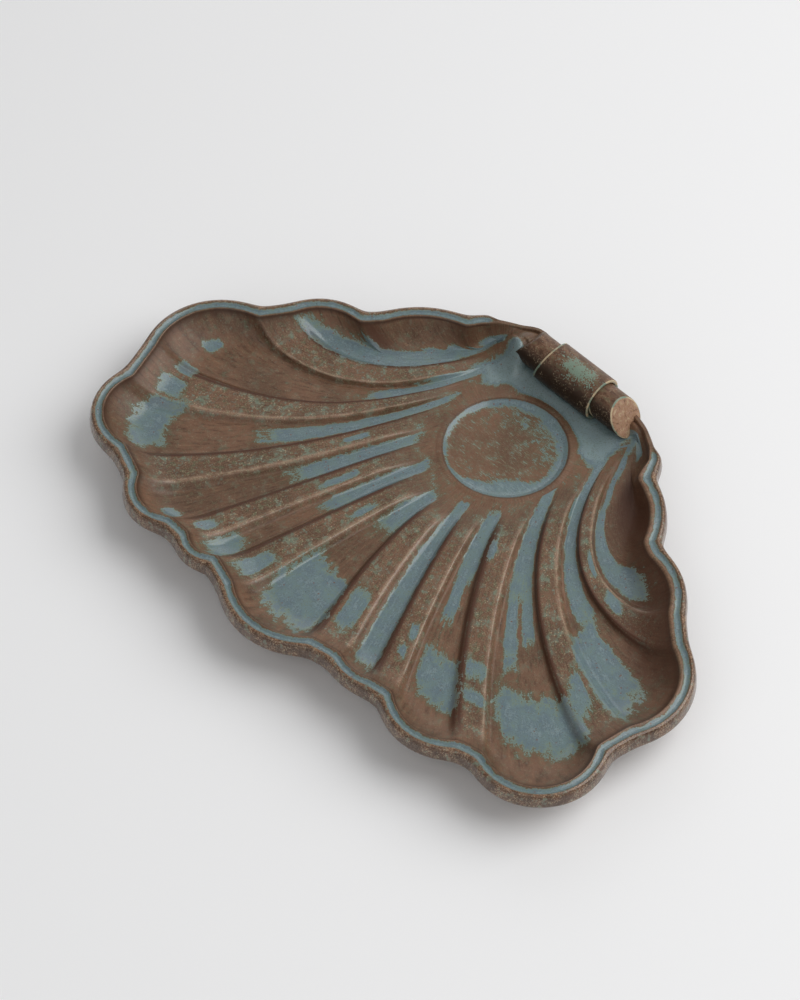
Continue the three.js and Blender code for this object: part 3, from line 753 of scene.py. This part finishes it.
# the flute, from the apron to the rim
def fluteRows(station, put, start):
    hub, bend, flute, kind = station["hub"], station["bend"], station["flute"], station["kind"][0]
    length = (bend - hub).length + (station["end"] - bend).length
    rows = shell["fluteRows"]
    looksLeft = (station["t"] > 0.5) == (flute > 0)
    marked = abs(flute) < shell["markedTo"]
    for i in range(rows):
        s = 1 - (1 - i / rows) ** shell["rowCrowding"]
        p = flutePoint(station, s)
        channel = channelAt(station, s)
        grown = smooth(*shell["markStart"], s) * (1 - smooth(*shell["markEnd"], s)) * (kind != "hinge")
        ridge = 1 - smooth(*shell["ridgeWidth"], toEdge(station, s)[0])
        # painted shade over rust: the wall mark goes only on the side of each channel that faces away from
        # the light
        steep = bump(channel, 0.42, 0.6) * (kind == "channel")
        wall = max(steep, ridge) * grown * marked * (looksLeft == (kind == "channel"))
        # painted highlight over thin glaze: the edge mark goes only on the lit side of each channel
        put(p.x, p.y, fluteHeight(station, s, p), start + length * s,
            pool=fluteBlue(station, s, p), band=(1 - channel) * grown,
            edge=ridge * grown * marked * (looksLeft == (kind == "band")), wall=max(wall, paintedShadeAt(flute, s)),
            crease=smooth(0.985, 1, s) * station["section"]["bead"],
            ear=float(abs(flute) > shell["earFlute"] and p.y > shell["earFront"]
                      and shell["earAcross"][0] < abs(p.x) < shell["earAcross"][1]))
    return start + length


# the rim: inner bead, groove, outer bead and flank
def rimRows(station, put, start):
    section = station["section"]
    groove, inside, bead = section["groove"], section["inside"], section["bead"]
    reach = section["line"][-1].x
    for d, z in section["line"]:
        p = station["inner"] + station["innerOut"] * d
        p = p.lerp(station["outer"] + station["outerOut"] * d, smooth(0, reach, d))
        hollow = bump(d, 0.1, groove * 1.4) ** 0.5
        innerBead = bump(d, -(inside + groove) / 2, (inside - groove) * 0.55) * 0.6
        outerBead = bump(d, groove + shell["outerBead"] * 0.35, 1.3) * 0.9
        put(p.x, p.y, station["crest"] + z, start + inside + d, pool=hollow * bead * 1.15,
            bead=max(innerBead, outerBead) * bead, crease=bump(d, -inside, 0.9) * bead,
            outside=smooth(groove, groove + 0.8, d))
    return p, station["crest"] + z


# the underside, from the lip to the middle of the flat pad
def underRows(station, put, start, lip, lipZ):
    rim, centre, low = station["rim"], shell["padCentre"], shell["footHeight"]
    turn = math.atan2(rim.y - centre, rim.x)
    pad = Vector((shell["padX"] * math.cos(turn), centre + shell["padY"] * math.sin(turn)))
    curve = min(shell["underLimit"], shell["underRun"] / (pad - lip).length)
    rows = shell["underRows"]
    for i in range(1, rows + 1):
        part = i / rows
        p = lip.lerp(pad, part * curve)
        z = mix(low, lipZ, (1 - part) ** shell["underPower"])
        put(p.x, p.y, z, start + mix(20, 56, part), outside=1 - part)
    for part in (0, 0.12, 0.4, 0.7, 1):
        p = pad.lerp(Vector((0, centre)), part)
        put(p.x, p.y, low, start + mix(60, 120, part))


# one column of the shell's grid, from the middle of the well over the rim to the middle of the underside
def shellColumn(station):
    column = []

    def put(x, y, z, along, **marks):
        flow = (station["flute"] * shell["flowStep"], along, 0)
        column.append((x, y, underScroll(x, y, z), {"flow": flow, **marks}))

    hubAt = wellRows(station, put)
    rimAt = fluteRows(station, put, hubAt)
    lip, lipZ = rimRows(station, put, rimAt)
    underRows(station, put, rimAt, lip, lipZ)
    return column


def makeShell():
    columns = [shellColumn(station) for station in ringOfStations()]
    columns.append(columns[0])
    across, along = len(columns) - 1, len(columns[0]) - 1
    bm = bmesh.new()
    layers = {name: bm.verts.layers.float.new(name) for name in (*shellMarks, "ear")}
    flowLayer = bm.verts.layers.float_vector.new("flow")
    bmesh.ops.create_grid(bm, x_segments=across, y_segments=along, size=0.5)
    for v in bm.verts:
        x, y, z, marks = columns[round((v.co.x + 0.5) * across)][round((v.co.y + 0.5) * along)]
        if z > shell["footHeight"] + 0.5:
            z += noise.noise(Vector((x, y, z)) / shell["waveLength"]) * shell["unevenness"]
        v.co = ((x + wellX) * mm, (y + wellY) * mm, z * mm)
        for name, layer in layers.items():
            v[layer] = marks.get(name, 0.0)
        v[flowLayer] = marks["flow"]
    bmesh.ops.remove_doubles(bm, verts=bm.verts[:], dist=1e-6)
    earVerts = [v for v in bm.verts if v[layers["ear"]] > 0.5]
    for _ in range(shell["earRounds"]):  # even out the ears where the flutes crowd together
        bmesh.ops.smooth_vert(bm, verts=earVerts, factor=0.5,
                              use_axis_x=False, use_axis_y=False, use_axis_z=True)
    bmesh.ops.recalc_face_normals(bm, faces=bm.faces[:])
    finishPiece(bm, "shellDish", "shell_dish", shellGlaze())


# Scroll: a rolled bar with leaning end discs, and the sleeve wrapped round its middle

def spinProfile(bm, profile, closed):
    verts = [bm.verts.new((x * mm, 0, r * mm)) for x, r in profile]
    for a, b in zip(verts, verts[1:] + (verts[:1] if closed else [])):
        bm.edges.new((a, b))
    bmesh.ops.spin(bm, geom=bm.verts[:] + bm.edges[:], cent=(0, 0, 0), axis=(1, 0, 0),
                   angle=2 * math.pi, steps=scroll["sides"], use_merge=True)
    bmesh.ops.remove_doubles(bm, verts=bm.verts[:], dist=1e-6)
    bmesh.ops.recalc_face_normals(bm, faces=bm.faces[:])


def rollShade(y, z, radius):  # painted shade, darker low on the front of the roll
    return smooth(*scroll["shade"], (-y - z * scroll["shadeDrop"]) / radius)


def makeCore(material):
    half, radius, edge, dish = scroll["length"] / 2, scroll["radius"], scroll["edge"], scroll["dish"]
    body = [(half * part, radius)
            for part in (0, 0.25, 0.5, 0.53, 0.545, 0.56, 0.58, 0.6, 0.62, 0.66, 0.8, 0.9)]
    corner = [(half - edge + edge * math.sin(a), radius - edge + edge * math.cos(a))
              for a in (0, math.pi / 8, math.pi / 4, math.pi * 3 / 8, math.pi / 2)]
    dished = [(half - 0.25, radius * 0.62), (half - dish, radius * 0.3), (half - dish, 0)]
    right = body + corner + dished
    bm = bmesh.new()
    layers = {name: bm.verts.layers.float.new(name) for name in scrollMarks}
    spinProfile(bm, [(-x, r) for x, r in right[:0:-1]] + right, False)
    for v in bm.verts:
        x, y, z = v.co / mm
        reach = math.hypot(y, z)
        v[layers["disc"]] = smooth(half - 0.75, half - 0.5, x) * (1 - smooth(radius - 0.3, radius, reach))
        v[layers["line"]] = max(bump(x, scroll["sleeveLength"] / 2 + 0.4, 1.4),
                                bump(reach, radius - 0.35, 0.7) * smooth(half - 0.9, half - 0.3, x))
        v[layers["low"]] = rollShade(y, z, radius)
        lean = z if x > 0 else max(z * scroll["leftSlant"], 0)
        v.co.x -= math.copysign(scroll["slant"], x) * lean * mm * abs(x) / half
        v.co += axis * mm
    finishPiece(bm, "scrollCore", "scroll_core", material)


def makeSleeve(material):
    half, inner = scroll["sleeveLength"] / 2, scroll["radius"] + scroll["gap"]
    outline = [(-half, inner), (half, inner), (half, sleeveRadius)]
    outline += [(half * part, sleeveRadius) for part in (0.94, 0.8, 0.5, 0.2, -0.2, -0.5, -0.8, -0.9, -0.94)]
    outline.append((-half, sleeveRadius))
    bm = bmesh.new()
    layers = {name: bm.verts.layers.float.new(name) for name in scrollMarks}
    spinProfile(bm, outline, True)
    softenEdges(bm, scroll["sleeveEdge"])
    for v in bm.verts:
        x, y, z = v.co / mm
        v[layers["line"]] = smooth(half - 0.7, half - 0.2, x) + smooth(half - 1.8, half - 0.7, -x)
        v[layers["patch"]] = bump(x, 3, 24) * bump(math.atan2(-y, z), 0.15, 0.95)
        v[layers["low"]] = rollShade(y, z, sleeveRadius)
        v.co.x += scroll["stepLean"] * v.co.z * max(0, -x) / half
        v.co += axis * mm
    finishPiece(bm, "scrollSleeve", "scroll_sleeve", material)


# Foot ring of bare clay

foot = {"edge": 1.2, "width": 9.0, "sides": 120}


def makeFoot():
    low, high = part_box("foot_ring")
    middle, reach = (low + high) / 2, (high - low) / 2
    bm = bmesh.new()
    for inset in (0, foot["width"] * mm):
        ring = bmesh.ops.create_circle(bm, segments=foot["sides"], radius=1)["verts"]
        for v in ring:
            v.co = (middle.x + v.co.x * (reach.x - inset), middle.y + v.co.y * (reach.y - inset), low.z)
    bottom = bmesh.ops.bridge_loops(bm, edges=bm.edges[:])["faces"]
    top = bmesh.ops.extrude_face_region(bm, geom=bottom)["geom"]
    bmesh.ops.translate(bm, verts=[v for v in top if isinstance(v, bmesh.types.BMVert)],
                        vec=(0, 0, high.z - low.z))
    bmesh.ops.recalc_face_normals(bm, faces=bm.faces[:])
    softenEdges(bm, foot["edge"])
    finishPiece(bm, "footRing", "foot_ring", footClay())


makeShell()
scrollMaterial = scrollGlaze()
makeCore(scrollMaterial)
makeSleeve(scrollMaterial)
makeFoot()

# Stage: pale table, soft window from the right, pale room; metres, watts and degrees from the front

stage = {"tableSize": 6.0, "table": 0.9, "farTable": 0.4, "farFrom": 0.4, "farTo": 1.4, "coolness": 1.005,
         "tableRoughness": 0.8, "tableSpecular": 0.1, "room": 0.27}
lamps = {
    "window": {"power": 33.0, "size": 1.9, "distance": 2.0, "turn": 140.0, "height": 48.0},
    "back": {"power": 9.0, "size": 2.0, "distance": 2.2, "turn": 222.0, "height": 24.0},
    "fill": {"power": 5.0, "size": 1.5, "distance": 1.6, "turn": 20.0, "height": 40.0},
}
view = {"turn": 45.70, "height": 52.52, "distance": 1.7683, "lens": 126.0, "aim": (-0.0076, -0.0110, 0.0270)}


def makeTable():
    bm = bmesh.new()
    bmesh.ops.create_grid(bm, x_segments=1, y_segments=1, size=stage["tableSize"])
    sheet = Sheet("tableTop")
    pale, dim = [(stage[key], stage[key], stage[key] * stage["coolness"], 1) for key in ("table", "farTable")]
    # painted shade: the far table dims where it lies close under the lamps
    far = sheet.node("ShaderNodeVectorMath", {"operation": "LENGTH"}, {0: sheet.place()}, "Value")
    top = sheet.blend(far.between(stage["farFrom"], stage["farTo"]), pale, dim)
    material = sheet.finish({"Base Color": top, "Roughness": stage["tableRoughness"],
                             "Specular IOR Level": stage["tableSpecular"]})
    makeObject(bm, "table", material)


# stand a lamp or the camera off in a direction, looking back at a point
def standOff(made, spot, aim=(0, 0, 0)):
    a, e = math.radians(spot["turn"]), math.radians(spot["height"])
    back = Vector((math.sin(a) * math.cos(e), -math.cos(a) * math.cos(e), math.sin(e)))
    made.location = Vector(aim) + back * spot["distance"]
    made.rotation_mode = "QUATERNION"
    made.rotation_quaternion = (-back).to_track_quat("-Z", "Y")
    bpy.context.scene.collection.objects.link(made)


def makeLight():
    for name, spot in lamps.items():
        lamp = bpy.data.lights.new(name, "AREA")
        lamp.shape = "SQUARE"
        lamp.size = spot["size"]
        lamp.energy = spot["power"]
        standOff(bpy.data.objects.new(name, lamp), spot)
    world = bpy.data.worlds.new("room")
    world.use_nodes = True
    world.node_tree.nodes["Background"].inputs["Color"].default_value = (1, 1, 1, 1)
    world.node_tree.nodes["Background"].inputs["Strength"].default_value = stage["room"]
    bpy.context.scene.world = world


def makeCamera():
    camera = bpy.data.objects.new("camera", bpy.data.cameras.new("camera"))
    camera.data.lens = view["lens"]
    standOff(camera, view, view["aim"])
    bpy.context.scene.camera = camera


makeTable()
makeLight()
makeCamera()
bpy.context.scene.view_settings.view_transform = "Standard"
print("stage set")
